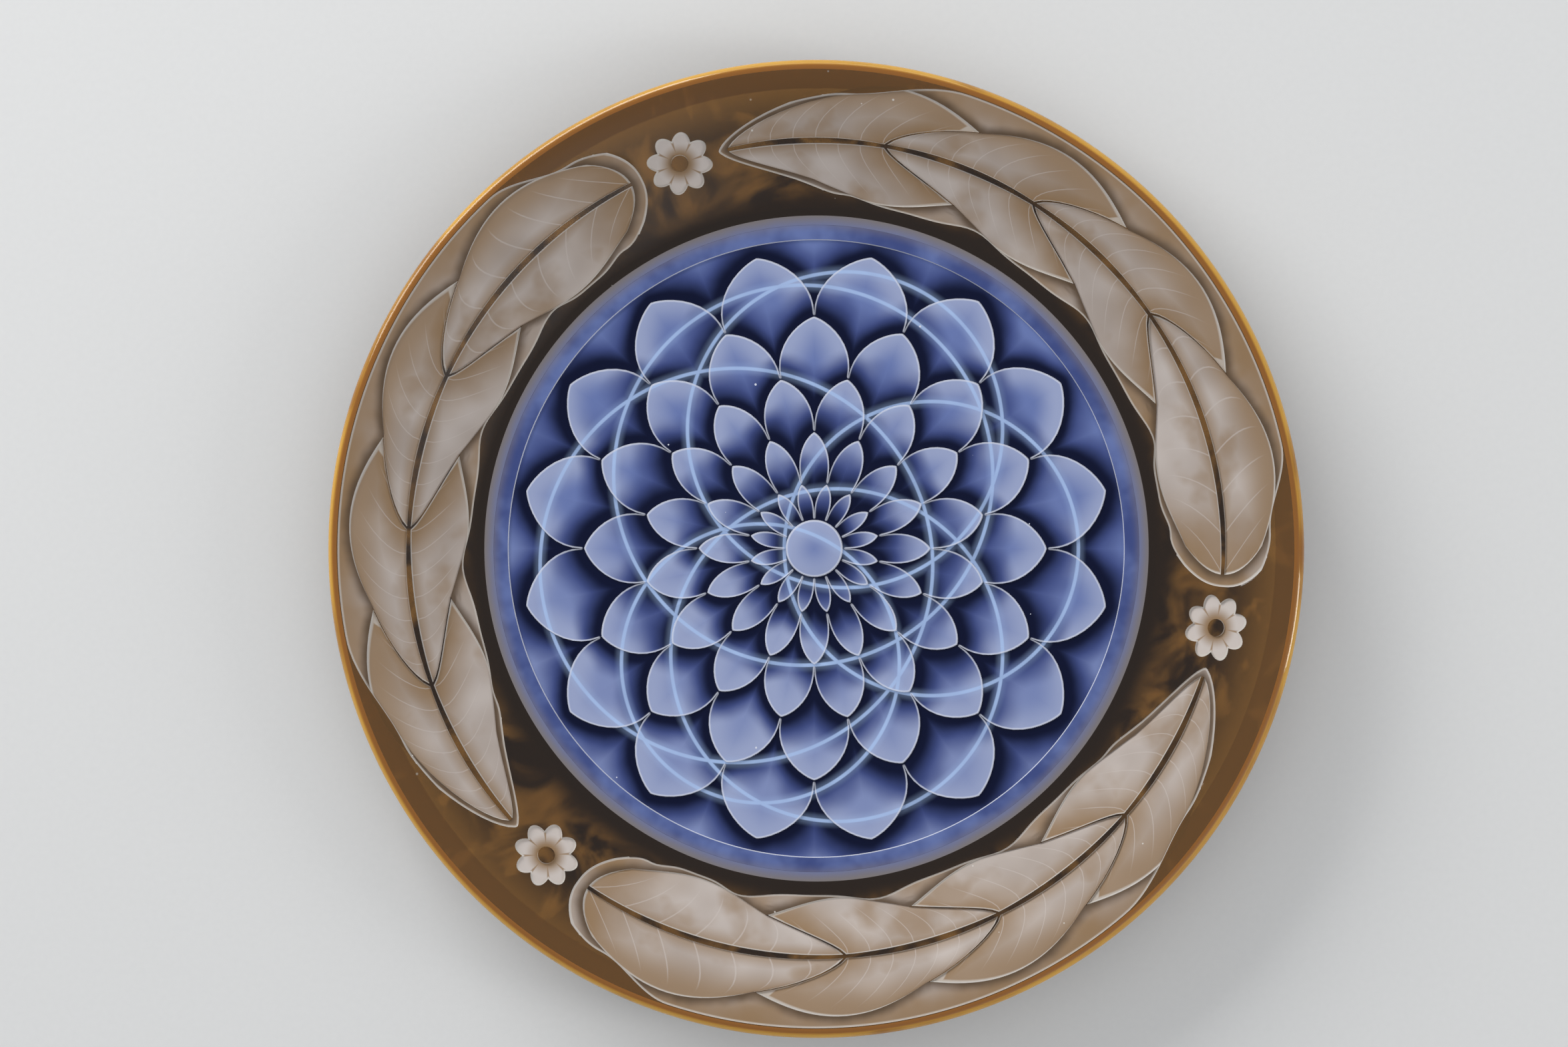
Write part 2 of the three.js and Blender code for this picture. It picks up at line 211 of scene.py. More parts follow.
class Section:
    """The dish's cross section: the face where the clear glass meets the coloured glass."""

    SAMPLES = 400
    # The well's face and the rim's face blend over this width on either side of where they meet.
    BLEND = 2 * MM

    def __init__(self, dish):
        self.dish = dish
        lean = math.atan2(dish.lip_rise, dish.lip_reach)
        self.lip_from = 90 + math.degrees(lean)
        self.lip_radius = dish.lip_wall / 2
        outer = self.lip_radius + dish.casing
        self.lip_centre = np.array([dish.plate_radius - outer, dish.plate_height - outer])
        end = self.lip_centre + self.lip_radius * np.array([-math.sin(lean), math.cos(lean)])
        self.floor = dish.foot_height + dish.wall
        edge = self.floor + dish.well_sag
        handles = np.array([
            [dish.well_radius, edge],
            [dish.well_radius + dish.cove_reach, edge + dish.cove_rise],
            [end[0] - dish.lip_reach, end[1] - dish.lip_rise],
            end,
        ])
        way = np.linspace(0, 1, self.SAMPLES)[:, None]
        weights = np.hstack([(1 - way) ** 3, 3 * way * (1 - way) ** 2, 3 * way**2 * (1 - way), way**3])
        self.rim = weights @ handles
        tangent = np.gradient(self.rim, axis=0)
        tangent /= np.linalg.norm(tangent, axis=1)[:, None]
        self.rim_normal = np.stack([-tangent[:, 1], tangent[:, 0]], axis=1)
        self.rim_casing = self.rim + self.rim_normal * dish.casing

    def sag(self, radius):
        """How far the well's face lies over its middle."""
        return self.dish.well_sag * (radius / self.dish.well_radius) ** 2

    def height(self, radius, lift):
        """Height of the coloured glass at radii in plan, at a lift off the clear glass."""
        dish = self.dish
        well = self.floor + self.sag(radius) + lift
        low = np.interp(radius, self.rim[:, 0], self.rim[:, 1])
        high = np.interp(radius, self.rim_casing[:, 0], self.rim_casing[:, 1])
        rim = low + (high - low) * lift / dish.casing
        blend = smooth(radius, dish.well_radius - self.BLEND, dish.well_radius + self.BLEND)
        return well * (1 - blend) + rim * blend

    def lip(self, lift, steps):
        """Points round the lip from its upper to its under side, at a lift off the clear glass."""
        turn = np.radians(np.linspace(self.lip_from, self.lip_from - 180, steps))
        return self.lip_centre + (self.lip_radius + lift) * np.stack([np.cos(turn), np.sin(turn)], axis=1)

    def underside(self, lift, radii):
        """Points at plan radii off the rim's underside, where the wall thins towards the lip."""
        wall = np.linspace(self.dish.wall, self.dish.lip_wall, self.SAMPLES)
        line = self.rim - self.rim_normal * (wall + lift)[:, None]
        return [(radius, np.interp(radius, line[:, 0], line[:, 1])) for radius in radii]


# Ways of modelling that several pieces share.


def start_clean():
    """Nothing is selected, so an operator acts on new geometry only."""
    if bpy.context.object and bpy.context.object.mode != "OBJECT":
        bpy.ops.object.mode_set(mode="OBJECT")
    bpy.ops.object.select_all(action="DESELECT")


def pick(piece):
    start_clean()
    piece.select_set(True)
    bpy.context.view_layer.objects.active = piece


def edit():
    bpy.ops.object.mode_set(mode="EDIT")
    bpy.ops.mesh.select_mode(type="VERT")
    bpy.ops.mesh.select_all(action="SELECT")


def close_up(threshold=1e-6):
    """Merges seams and poles and turns the faces outwards."""
    edit()
    bpy.ops.mesh.remove_doubles(threshold=threshold)
    bpy.ops.mesh.select_all(action="SELECT")
    bpy.ops.mesh.normals_make_consistent(inside=False)
    bpy.ops.object.mode_set(mode="OBJECT")


def finish_piece(piece, node):
    """Shades a piece, says what it rides on, and hides the part from model.glb that it stands in for."""
    pick(piece)
    bpy.ops.object.shade_smooth_by_angle(angle=math.radians(30))
    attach(piece, "root")
    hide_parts(node)


def turned(name, profile, steps):
    """Draws a profile point by point by extruding one vertex, and spins it round the axis."""
    start_clean()
    bpy.ops.mesh.primitive_plane_add(size=MM)
    piece = bpy.context.object
    piece.name = name
    edit()
    bpy.ops.mesh.merge(type="CENTER")
    bpy.ops.transform.translate(value=(profile[0][0], 0, profile[0][1]))
    for here, there in zip(profile, profile[1:]):
        step = (there[0] - here[0], 0, there[1] - here[1])
        bpy.ops.mesh.extrude_region_move(TRANSFORM_OT_translate={"value": step})
    bpy.ops.mesh.select_all(action="SELECT")
    bpy.ops.mesh.spin(steps=steps, angle=math.tau, center=(0, 0, 0), axis=(0, 0, 1))
    bpy.ops.object.mode_set(mode="OBJECT")
    close_up(2e-6)
    return piece


def wrapped(name, points, zones, attributes):
    """Lays a grid primitive in place, column by column and row by row, and merges its seams.

    points is columns by rows by 3, zones gives each cell's material, and attributes hold a value
    for each point.
    """
    start_clean()
    columns, rows = points.shape[0] - 1, points.shape[1] - 1
    bpy.ops.mesh.primitive_grid_add(x_subdivisions=columns, y_subdivisions=rows, size=1)
    piece = bpy.context.object
    piece.name = name
    mesh = piece.data
    if len(mesh.vertices) != (columns + 1) * (rows + 1):
        raise RuntimeError(f"{name}: the grid has {len(mesh.vertices)} points")

    def read(items, key):
        flat = np.zeros(len(items) * 3)
        items.foreach_get(key, flat)
        return ((flat.reshape(-1, 3)[:, :2] + 0.5) * (columns, rows)).T

    column, row = np.rint(read(mesh.vertices, "co")).astype(int)
    for key, values in attributes.items():
        layer = mesh.attributes.new(key, "FLOAT", "POINT")
        layer.data.foreach_set("value", values[column, row].astype(np.float32))
    cell_column, cell_row = np.floor(read(mesh.polygons, "center")).astype(int)
    mesh.polygons.foreach_set("material_index", zones[cell_column, cell_row].astype(np.int32))
    mesh.vertices.foreach_set("co", points[column, row].astype(np.float32).ravel())
    mesh.update()
    close_up()
    return piece


def round_axis(radius, height, turn):
    """Points of given radius and height at angles in radians."""
    return np.stack([radius * np.cos(turn), radius * np.sin(turn), height], axis=-1)


def nearest_mm(places, outline):
    """Distance in millimetres in plan from each place to a closed outline."""
    sides = np.roll(outline, -1, axis=0) - outline
    lengths = np.maximum((sides**2).sum(axis=1), 1e-18)
    away = places[:, None, :] - outline[None, :, :]
    way = np.clip((away * sides).sum(axis=2) / lengths, 0, 1)
    gap = away - way[:, :, None] * sides
    return np.sqrt((gap**2).sum(axis=2)).min(axis=1) / MM


# Materials.


class Value:
    """A number that nodes work out, with which plain arithmetic can be written."""

    def __init__(self, nodes, socket):
        self.nodes = nodes
        self.socket = socket

    def __add__(self, other):
        return self.nodes.math("ADD", self, other)

    def __sub__(self, other):
        return self.nodes.math("SUBTRACT", self, other)

    def __rsub__(self, other):
        return self.nodes.math("SUBTRACT", other, self)

    def __mul__(self, other):
        return self.nodes.math("MULTIPLY", self, other)

    def __truediv__(self, other):
        return self.nodes.math("DIVIDE", self, other)

    def __abs__(self):
        return self.nodes.math("ABSOLUTE", self)

    def step(self, low, high):
        """0 below low and 1 above high, smooth between, or the other way if low is above high."""
        node = self.nodes.add("MapRange", interpolation_type="SMOOTHSTEP")
        self.nodes.link(self, node.inputs["Value"])
        ends = (high, low, 1.0, 0.0) if low > high else (low, high, 0.0, 1.0)
        for key, end in zip(("From Min", "From Max", "To Min", "To Max"), ends):
            node.inputs[key].default_value = end
        return Value(self.nodes, node.outputs["Result"])


class Nodes:
    """A short way to write nodes."""

    def __init__(self, tree):
        self.tree = tree

    def add(self, kind, **settings):
        node = self.tree.nodes.new("ShaderNode" + kind)
        for key, setting in settings.items():
            setattr(node, key, setting)
        return node

    def link(self, source, socket):
        """Feeds a socket from a value, another socket, a colour or a number."""
        source = source.socket if isinstance(source, Value) else source
        if isinstance(source, bpy.types.NodeSocket):
            self.tree.links.new(source, socket)
        elif hasattr(source, "__len__"):
            socket.default_value = (*source, 1.0)
        else:
            socket.default_value = source

    def math(self, operation, *values):
        node = self.add("Math", operation=operation)
        for value, socket in zip(values, node.inputs):
            self.link(value, socket)
        return Value(self, node.outputs[0])

    def most(self, value, *others):
        for other in others:
            value = self.math("MAXIMUM", value, other)
        return value

    def mix(self, way, first, second):
        """One colour turned into another by the way from 0 to 1."""
        node = self.add("Mix", data_type="RGBA")
        for source, socket in zip((way, first, second), (node.inputs[0], *node.inputs[6:8])):
            self.link(source, socket)
        return node.outputs[2]


class Finish(Nodes):
    """A material whose nodes read places on the plate and the attributes of its carving."""

    def __init__(self, name, roughness, transmission=0.0, specular=0.5):
        self.material = bpy.data.materials.new(name)
        self.material.use_nodes = True
        super().__init__(self.material.node_tree)
        self.coordinates = self.add("TexCoord").outputs["Object"]
        self.to_shader("Roughness", roughness)
        self.to_shader("Transmission Weight", transmission)
        self.to_shader("Specular IOR Level", specular)
        self.to_shader("IOR", 1.5)

    def to_shader(self, name, source):
        self.link(source, self.tree.nodes["Principled BSDF"].inputs[name])

    def paint(self, tone, seeds=None):
        """Colours the glass, and its seeds if they get a colour: a pale colour on them is a painted glint.
        """
        if seeds:
            tone = self.mix(self.seeds(), tone, seeds)
        self.to_shader("Base Color", tone)

    def attribute(self, name):
        return Value(self, self.add("Attribute", attribute_name=name).outputs["Fac"])

    def noise(self, size, detail=2.0, distortion=0.0):
        """Noise whose features are about the given size across."""
        node = self.add("TexNoise")
        self.link(self.coordinates, node.inputs["Vector"])
        self.link(1 / size, node.inputs["Scale"])
        self.link(detail, node.inputs["Detail"])
        self.link(distortion, node.inputs["Distortion"])
        return Value(self, node.outputs["Fac"])

    def plan(self):
        """Places in plan in metres: across the plate, and up towards its top."""
        split = self.add("SeparateXYZ")
        self.link(self.coordinates, split.inputs[0])
        return Value(self, split.outputs["X"]), Value(self, split.outputs["Y"])

    def length(self, x, y):
        return self.math("SQRT", x * x + y * y)

    def radius(self):
        """Distance from the plate's axis in metres."""
        return self.length(*self.plan())

    def folded(self, number, first):
        """Places in plan, turned so that each of a number of like places falls on the X axis."""
        x, y = self.plan()
        pitch = math.tau / number
        turn = self.math("ARCTAN2", y, x) + (pitch / 2 - first)
        turn = self.math("FLOORED_MODULO", turn, pitch) - pitch / 2
        radius = self.radius()
        return radius * self.math("COSINE", turn), radius * self.math("SINE", turn)

    def seeds(self):
        """Tiny bubbles in the glass: 1 on a bubble, and about one in each few cells."""
        spacing, size = 13 * MM, 0.45 * MM
        cells = self.add("TexVoronoi")
        self.link(self.coordinates, cells.inputs["Vector"])
        self.link(1 / spacing, cells.inputs["Scale"])
        split = self.add("SeparateColor")
        self.link(cells.outputs["Color"], split.inputs["Color"])
        reach = Value(self, split.outputs["Green"]) * (1.3 * size / spacing)
        inside = self.math("LESS_THAN", cells.outputs["Distance"], reach)
        return inside * self.math("GREATER_THAN", split.outputs["Red"], 0.6)

    def outlined(self, tone, line, ends, strength):
        """A tone with a painted highlight, a pale line along the carved edge, between two distances in
        millimetres.
        """
        return self.mix(self.attribute("edge_mm").step(*ends) * strength, tone, line)

    def bump(self, height, strength, drop):
        node = self.add("Bump")
        self.link(strength, node.inputs["Strength"])
        self.link(drop, node.inputs["Distance"])
        self.link(height, node.inputs["Height"])
        self.to_shader("Normal", node.outputs["Normal"])

    def grain(self, size, strength):
        """The fine even tooth that blasting and grinding leave."""
        self.bump(self.noise(size, detail=3.0), strength, 0.05 * MM)


def frosted(name, roughness=0.5, transmission=0.08, tooth=0.35):
    frost = Finish(name, roughness, transmission, 0.3)
    frost.grain(0.35 * MM, tooth)
    return frost


def shaded(tone, depth):
    return tuple(depth * part for part in tone)


def coat(piece, *finishes):
    for finish in finishes:
        piece.data.materials.append(finish.material)


def clear_glass(colours):
    glass = Finish("clear_glass", 0.02, 1.0)
    cords = glass.noise(60 * MM, detail=1.0, distortion=1.5)
    pale = tuple(0.5 + 0.5 * part for part in colours.clear)
    glass.paint(glass.mix(cords, colours.clear, pale))
    glass.bump(cords, 0.05, 2 * MM)
    return glass


def ground_glass(colours):
    glass = Finish("ground_glass", 0.55, 0.35)
    wear = glass.noise(4 * MM, detail=4.0)
    glass.paint(glass.mix(wear, shaded(colours.clear, 0.62), colours.clear))
    glass.grain(0.25 * MM, 0.5)
    return glass


def polished_amber(colours, dish):
    """Clear dark amber with streaks, near black beside the well, and lighter towards the lip, where the
    streak colour is painted on as a glow of gathered light.
    """
    glass = Finish("polished_amber", 0.03, 0.7, 0.3)
    well_edge = dish.well_radius + dish.lap
    beyond_well = glass.radius().step(well_edge, well_edge + 13 * MM)
    streaks = glass.noise(48 * MM, detail=3.0, distortion=2.4).step(0.38, 0.68) * beyond_well
    # Painted glow: towards the lip the glass takes the lighter streak colour, as if light were gathered
    # there.
    near_lip = glass.radius().step(dish.plate_radius - 39 * MM, dish.plate_radius - 9 * MM) * 0.8
    tone = glass.mix(glass.most(streaks, near_lip), colours.amber, colours.amber_streak_and_glow)
    glass.paint(tone, seeds=colours.line)
    glass.bump(glass.noise(90 * MM, detail=0.0), 0.03, 2 * MM)
    return glass


def glowing_lip(colours, dish):
    """A painted glow: golden where the lip is thin, as if light gathered along its edge, orange where it is
    deeper.
    """
    glass = Finish("glowing_lip", 0.06, 0.35)
    streaks = glass.noise(70 * MM, distortion=1.0).step(0.45, 0.80)
    deeper = glass.radius().step(dish.plate_radius - 1.4 * MM, dish.plate_radius - 3 * MM)
    glass.paint(glass.mix(glass.most(streaks, deeper), colours.lip_glow, colours.orange))
    return glass


def frosted_leaf(colours):
    """Leaves: beige, tan towards the base, rib and lip, with pale veins and a crisp pale edge painted as a
    highlight.
    """
    frost = frosted("frosted_leaf")
    along = frost.attribute("along")
    across = frost.attribute("across")
    side = abs(across)
    cloud = frost.noise(30 * MM, detail=3.0)
    base = (along + cloud * 0.3).step(0.60, 0.10)
    outer = across.step(0.15, 0.9) * 0.85
    rib = side.step(0.34, 0.04) * 0.7
    patch = cloud.step(0.46, 0.72) * 0.7
    pale = frost.noise(26 * MM, detail=1.0).step(0.25, 0.85)
    tone = frost.mix(pale, colours.frost, colours.pale_frost)
    tone = frost.mix(frost.most(base, outer, rib, patch), tone, colours.tan)
    veins, slant = 7.0, 1.6
    wave = frost.math("PINGPONG", along * veins - side * slant, 0.5)
    vein = wave.step(0.030, 0.012) * side.step(0.92, 0.55) * 0.5
    tone = frost.mix(vein, tone, colours.pale_frost)
    tone = frost.outlined(tone, colours.line, (0.85, 0.4), 0.6)
    frost.paint(tone, seeds=colours.line)
    return frost


def frosted_band(colours, dish):
    """The ground under the leaves: dark beside them, paler away from them, tan towards the lip."""
    frost = frosted("frosted_band")
    cloud = frost.noise(34 * MM, detail=3.0).step(0.3, 0.7)
    tone = frost.mix(cloud, colours.tan, colours.frost)
    near_lip = frost.radius().step(dish.plate_radius - 19 * MM, dish.plate_radius - 6 * MM) * 0.75
    tone = frost.mix(near_lip, tone, colours.tan)
    away = frost.attribute("leaf_mm") + frost.noise(12 * MM) * 3.0
    tone = frost.mix(away.step(6.5, 1.2) * 0.95, tone, colours.umber)
    # Painted highlight: a pale line along the band's carved edge.
    tone = frost.outlined(tone, colours.line, (0.8, 0.3), 0.6)
    frost.paint(tone, seeds=colours.line)
    return frost


def frosted_flower(colours, rim):
    """Flowers: tan round the eye and between the petals, with a pale edge painted as a highlight."""
    frost = frosted("frosted_flower")
    # The rim leans, so a place on it is further from the flower's middle than it looks in plan.
    stretch = 1.12
    x, y = frost.folded(rim.garlands, flower_turn(rim))
    x = (x - rim.radius) * stretch
    away = frost.length(x, y)
    petals = frost.math("ARCTAN2", y, x) * (rim.flower_petals / 2)
    lobe = abs(frost.math("SINE", petals))
    edge = rim.flower_radius - (1.0 - lobe) * rim.flower_notch - away
    eye = away.step(rim.flower_radius * 0.72, rim.flower_eye)
    seam = lobe.step(0.32, 0.05) * 0.9
    tone = frost.mix(frost.most(eye, seam), colours.pale_frost, colours.tan)
    frost.paint(frost.mix(edge.step(1.0 * MM, 0.2 * MM), tone, colours.line))
    return frost


def carved_edge(name, tone):
    """The bevel beside a cut, painted in a pale tone as a highlight, as if it caught the light, and a
    little worn.
    """
    edge = Finish(name, 0.42, 0.1)
    edge.paint(edge.mix(edge.noise(3 * MM, detail=3.0), tone, shaded(tone, 0.8)))
    edge.grain(0.3 * MM, 0.25)
    return edge


def with_margin(frost, tone, colours, dish):
    """Turns a blue tone grey brown towards the edge of the well, where amber lies over it."""
    near = frost.radius() + frost.noise(20 * MM) * (3 * MM)
    fade = near.step(dish.well_radius - 7 * MM, dish.well_radius + 3 * MM)
    return frost.mix(fade, tone, colours.margin)


def frosted_margin(colours, dish):
    margin = frosted("frosted_margin", 0.45, 0.1)
    margin.paint(with_margin(margin, colours.blue, colours, dish))
    return margin


def engraved_lines(frost, well):
    """Wide circles of uneven size that cross one another: 1 on a line, with a faint glow beside it."""
    x, y = frost.plan()
    nearest = None
    for i in range(well.circles):
        turn = math.tau * (i + 0.35 * math.sin(2.3 * i)) / well.circles
        centre = (46 + 15 * math.sin(1.7 * i + 0.6)) * MM
        radius = well.circles_reach - centre - (4 + 4 * math.cos(2.9 * i)) * MM
        away = frost.length(x - centre * math.cos(turn), y - centre * math.sin(turn))
        away = abs(away - radius)
        nearest = away if nearest is None else frost.math("MINIMUM", nearest, away)
    core = nearest.step(1.3 * well.circles_width, 0.45 * well.circles_width)
    glow = nearest.step(4.0 * well.circles_width, 0.8 * well.circles_width) * 0.22
    return frost.most(core, glow)


def frosted_petal(colours, dish, well):
    """Petals: pale at their crests, blue below, and feathered to navy under the next ring in, with painted
    light that makes them paler towards one side of the plate, at low Y.
    """
    frost = frosted("frosted_petal", tooth=0.25)
    cloud = frost.noise(42 * MM)
    soft = frost.noise(16 * MM)
    # These are millimetres, like the attributes: to the petal's edge, and past the ring inside it.
    depth = frost.attribute("edge_mm") + (cloud - 0.5) * 14.0
    tone = frost.mix(depth.step(0.0, 15.0), colours.crest, colours.blue)
    # Painted light: the petals turn paler towards one side of the plate, at low Y, as if lit from there.
    upward = frost.plan()[1] + frost.noise(90 * MM, detail=1.0) * (160 * MM)
    tone = frost.mix(upward.step(130 * MM, -20 * MM) * 0.42, tone, colours.crest)
    spread = frost.most((cloud - 0.4) * 2.2 + 1.0, 0.45)
    past = frost.attribute("base_mm") / spread + (soft - 0.5) * 2.0
    tone = frost.mix(past.step(15.0, 6.0), tone, colours.low_blue)
    navy = past.step(8.5, 2.0)
    tone = frost.mix(navy, tone, colours.navy)
    line = engraved_lines(frost, well) * (soft * 0.5 + 0.55)
    tone = frost.mix(line, tone, colours.engraved)
    # Painted highlight: a pale line along each petal's carved edge.
    tone = frost.outlined(tone, colours.crest_highlight, (0.8, 0.3), 0.65)
    frost.paint(with_margin(frost, tone, colours, dish), seeds=colours.crest_highlight)
    frost.to_shader("Roughness", 0.5 - navy * 0.2)
    frost.to_shader("Specular IOR Level", 0.3 - navy * 0.22)
    return frost


def blue_border(colours, dish):
    frost = frosted("blue_border", 0.45, 0.1)
    cloud = frost.noise(24 * MM, detail=3.0).step(0.35, 0.7)
    tone = frost.mix(cloud, colours.low_blue, colours.blue)
    frost.paint(with_margin(frost, tone, colours, dish))
    return frost


def plain_blue(colours):
    glass = Finish("plain_blue", 0.12, 0.5)
    glass.paint(glass.mix(glass.noise(40 * MM), colours.low_blue, colours.blue))
    return glass


# The pieces.


class CHARGER_OT_body(bpy.types.Operator):
    """Turns the clear glass dish, with its foot"""

    bl_idname = "charger.body"
    bl_label = "Clear glass body"

    # How far up the bevel beside the foot's ground face runs, and the height below which a face is ground.
    FOOT_BEVEL_RISE = 0.21 * MM
    GROUND_BELOW = 0.05 * MM
    STEPS = 288
    WELL_POINTS = 12
    RIM_POINTS = 28
    LIP_POINTS = 12

    def execute(self, context):
        dish = context.scene.charger_dish
        colours = context.scene.charger_colours
        piece = turned("glass_body", self.profile(dish, Section(dish)), self.STEPS)
        coat(piece, clear_glass(colours), ground_glass(colours))
        for face in piece.data.polygons:
            if face.center.z < self.GROUND_BELOW:
                face.material_index = 1
        finish_piece(piece, BODY_NODE)
        return {"FINISHED"}

    def profile(self, dish, section):
        """From the middle of the well out over the rim and lip, and back under to the axis."""
        radii = np.linspace(0, dish.well_radius, self.WELL_POINTS)[:-1]
        well = [(radius, section.floor + section.sag(radius)) for radius in radii]
        picks = np.linspace(0, section.SAMPLES - 1, self.RIM_POINTS).astype(int)
        wall = np.linspace(dish.wall, dish.lip_wall, self.RIM_POINTS)
        under = section.rim[picks] - section.rim_normal[picks] * wall[:, None]
        lip = section.lip(0, self.LIP_POINTS)[1:-1]
        return [*well, *section.rim[picks], *lip, *under[::-1], *self.foot(dish, section)]

    def foot(self, dish, section):
        """The ground ring with its hollow sides, and the underside inside it to the axis."""
        def under(radius):
            return section.floor + section.sag(radius) - dish.wall

        def side(radius, out):
            flare = out * dish.foot_flare
            return [
                (radius - out * BEVEL, 0),
                (radius, self.FOOT_BEVEL_RISE),
                (radius + 0.4 * flare, 0.45 * dish.foot_height),
                (radius + flare, under(radius) - 0.15 * dish.foot_height),
                (radius + 2 * flare, under(radius + 2 * flare)),
            ]

        inner = dish.foot_radius
        hollow = [(inner * way, under(inner * way)) for way in (0.75, 0.5, 0.25, 0)]
        return side(inner + dish.foot_width, 1)[::-1] + side(inner, -1) + hollow


class CHARGER_OT_well(bpy.types.Operator):
    """Carves the blue casing of the well with rings of overlapping petals"""

    bl_idname = "charger.well"
    bl_label = "Blue casing of the well"

    PETAL, EDGE, BORDER, PLAIN = range(4)
    HALF_STEPS = 12
    BOSS_ROWS = 7
    PETAL_ROWS = 10
    FLOOR_ROWS = 8
    BORDER_ROWS = 5
    BACK_ROWS = 14
    # Powers of a petal's outline and of its rise from its base to its tip.
    POINTED = 1.25
    RISE = 0.8

    def execute(self, context):
        self.dish = context.scene.charger_dish
        self.well = context.scene.charger_well
        self.section = Section(self.dish)
        self.turn = self.columns()
        self.rows = []
        self.boss()
        outline = self.petal_rings()
        self.border_and_back(outline)
        points = np.stack([round_axis(r["radius"], r["height"], self.turn) for r in self.rows], axis=1)
        zones = np.tile([r["zone"] for r in self.rows[1:]], (len(self.turn) - 1, 1))
        attributes = {key: np.stack([r[key] for r in self.rows], axis=1) for key in ("base_mm", "edge_mm")}
        piece = wrapped("blue_casing", points, zones, attributes)
        colours = context.scene.charger_colours
        coat(
            piece,
            frosted_petal(colours, self.dish, self.well),
            carved_edge("blue_edge_highlight", colours.crest_highlight),
            blue_border(colours, self.dish),
            plain_blue(colours),
        )
        finish_piece(piece, BLUE_NODE)
        return {"FINISHED"}

    def columns(self):
        """Angles round the well, closer together at the petals' tips and notches."""
        half = math.pi / self.well.petals
        way = 0.5 - 0.5 * np.cos(np.linspace(0, math.pi, self.HALF_STEPS + 1))
        turns = [half * (i + way[:-1]) for i in range(2 * self.well.petals)]
        return np.append(np.concatenate(turns), math.tau)

    def add(self, radius, lift, zone, base=FAR, edge=FAR):
        """One more row of the grid, out from the last; zone is the material up to it."""
        ones = np.ones_like(self.turn)
        radius = radius * ones
        height = self.section.height(radius, lift)
        self.rows.append({
            "radius": radius, "height": height, "zone": zone, "base_mm": base * ones, "edge_mm": edge * ones
        })

    def plan(self, radius):
        """Places in plan at a radius for every column."""
        return round_axis(radius, np.zeros_like(self.turn), self.turn)[:, :2]

    def boss(self):
        well = self.well
        for way in np.linspace(0, 1, self.BOSS_ROWS):
            rise = well.boss_height * math.sqrt(max(0.0, 1 - way**2))
            edge = (1 - way) * well.boss_radius / MM
            self.add(well.boss_radius * way, self.dish.casing + rise, self.PETAL, edge=edge)

    def tips(self):
        """Tip radii of the rings, each ring a little wider than the one inside it."""
        well = self.well
        steps = well.rings - 1
        growth = well.spread * np.arange(steps)
        first_gap = (well.last_tip - well.first_tip - growth.sum()) / steps
        return well.first_tip + np.concatenate([[0], np.cumsum(first_gap + growth)])

    def outline(self, ring, tips):
        """Radius of one ring's outer edge at every column. Ring 0 is the boss."""
        well = self.well
        if ring == 0:
            return np.full_like(self.turn, well.boss_radius)
        inside = well.boss_radius if ring == 1 else tips[ring - 2]
        place = self.turn * well.petals / math.tau + (0.5 if ring % 2 else 0)
        across = np.abs(2 * (place - np.rint(place)))
        stands = np.sqrt(np.clip(1 - across**self.POINTED, 0, 1))
        low = inside + well.clearance
        return low + (tips[ring - 1] - low) * stands

    def petal_rings(self):
        """Rings of petals that rise from under the ring inside them, and the last ring's outline."""
        well = self.well
        tips = self.tips()
        for ring in range(1, well.rings + 1):
            inner = self.outline(ring - 1, tips) + BEVEL
            outer = self.outline(ring, tips)
            near, far = self.plan(inner)[:-1], self.plan(outer)[:-1]
            for i, way in enumerate(np.linspace(0, 1, self.PETAL_ROWS)):
                radius = inner + (outer - inner) * way
                lift = self.dish.casing - well.cut + (well.cut - well.tip_cut) * way**self.RISE
                zone = self.EDGE if i == 0 else self.PETAL
                places = self.plan(radius)
                self.add(radius, lift, zone, nearest_mm(places, near), nearest_mm(places, far))
        return outer

    def border_and_back(self, outline):
        """The floor outside the petals, the plain border, the lap under the amber and the back."""
        well, dish = self.well, self.dish
        lap_inner = dish.well_radius - dish.lap
        lap_outer = dish.well_radius + dish.lap
        start, border = outline + BEVEL, lap_inner - well.border
        near = self.plan(start)[:-1]
        for i, way in enumerate(np.linspace(0, 1, self.FLOOR_ROWS)):
            radius = start + (border - start) * way
            zone = self.EDGE if i == 0 else self.PETAL
            self.add(radius, dish.casing - well.cut, zone, nearest_mm(self.plan(radius), near))
        for i, radius in enumerate(np.linspace(border + BEVEL, lap_inner, self.BORDER_ROWS)):
            self.add(radius, dish.casing, self.EDGE if i == 0 else self.BORDER)
        for radius in (lap_inner, lap_outer):
            self.add(radius, dish.lap_height - dish.seat / 2, self.PLAIN)
        for radius in np.linspace(lap_outer, 0, self.BACK_ROWS):
            self.add(radius, dish.seat, self.PLAIN)


def leaf_end(rim, leaf, across):
    """Angle at which a leaf ends. Across runs from -1 at the inner edge to 1."""
    shoulder = leaf * rim.pitch
    if leaf == 0:
        return shoulder - rim.rounding * (1 - across * across)
    return shoulder + rim.lead * (1 - abs(across) ** 1.5)


def flower_turn(rim):
    """Angle of the first flower, half way from a garland's last tip to the next garland."""
    next_base = math.tau / rim.garlands + leaf_end(rim, 0, 0)
    return (leaf_end(rim, rim.leaves, 0) + next_base) / 2


